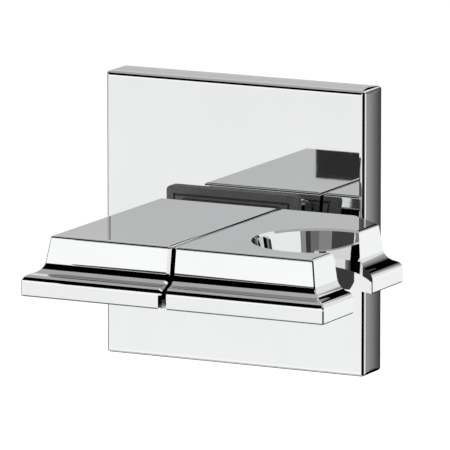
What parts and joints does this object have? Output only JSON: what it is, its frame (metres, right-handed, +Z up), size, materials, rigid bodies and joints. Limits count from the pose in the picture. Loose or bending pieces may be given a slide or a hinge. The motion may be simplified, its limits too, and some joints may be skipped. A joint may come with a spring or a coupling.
{
  "type": "hand shower holder",
  "caption": "Chrome wall holder for a hand shower: a square plate carries a cove-moulded arm beside a tilting cradle with a tapered hole and a side mouth for the hose.",
  "frame": {"origin": "centre of the wall plate's back, on the wall surface, midway between the two wall screws", "axes": "+X to the right along the wall, +Y into the wall, +Z up"},
  "size_m": [0.0749, 0.0653, 0.0554],
  "materials": {
    "chrome": "polished chrome plate on cast brass",
    "gasket": "dark grey moulded rubber",
    "foam": "pale grey foam strip",
    "casting": "as-cast zinc alloy",
    "steel": "stainless steel",
    "acetal": "natural white acetal",
    "brass": "turned brass"
  },
  "bodies": {
    "base": {"wall_plate": "chrome", "rim_seal": "foam", "wall_bracket": "casting", "grub_screw": "steel", "neck_gasket": "gasket", "fixed_arm": "chrome", "arm_bolts": "steel", "bolt_washers": "steel", "base_cover": "chrome", "cover_screws": "steel", "pivot_bush": "acetal", "disc_springs": "steel"},
    "tilting_cradle": {"cradle": "chrome", "pivot_stud": "brass", "stud_set_screw": "steel", "friction_ring": "acetal", "thrust_washer": "steel", "lock_nut": "brass"}
  },
  "joints": [
    {"name": "cradle_tilt", "type": "hinge", "parent": "base", "child": "tilting_cradle", "pos_m": [0.0143, -0.038, 0], "axis": [1, 0, 0], "range_deg": [-30, 45]}
  ]
}
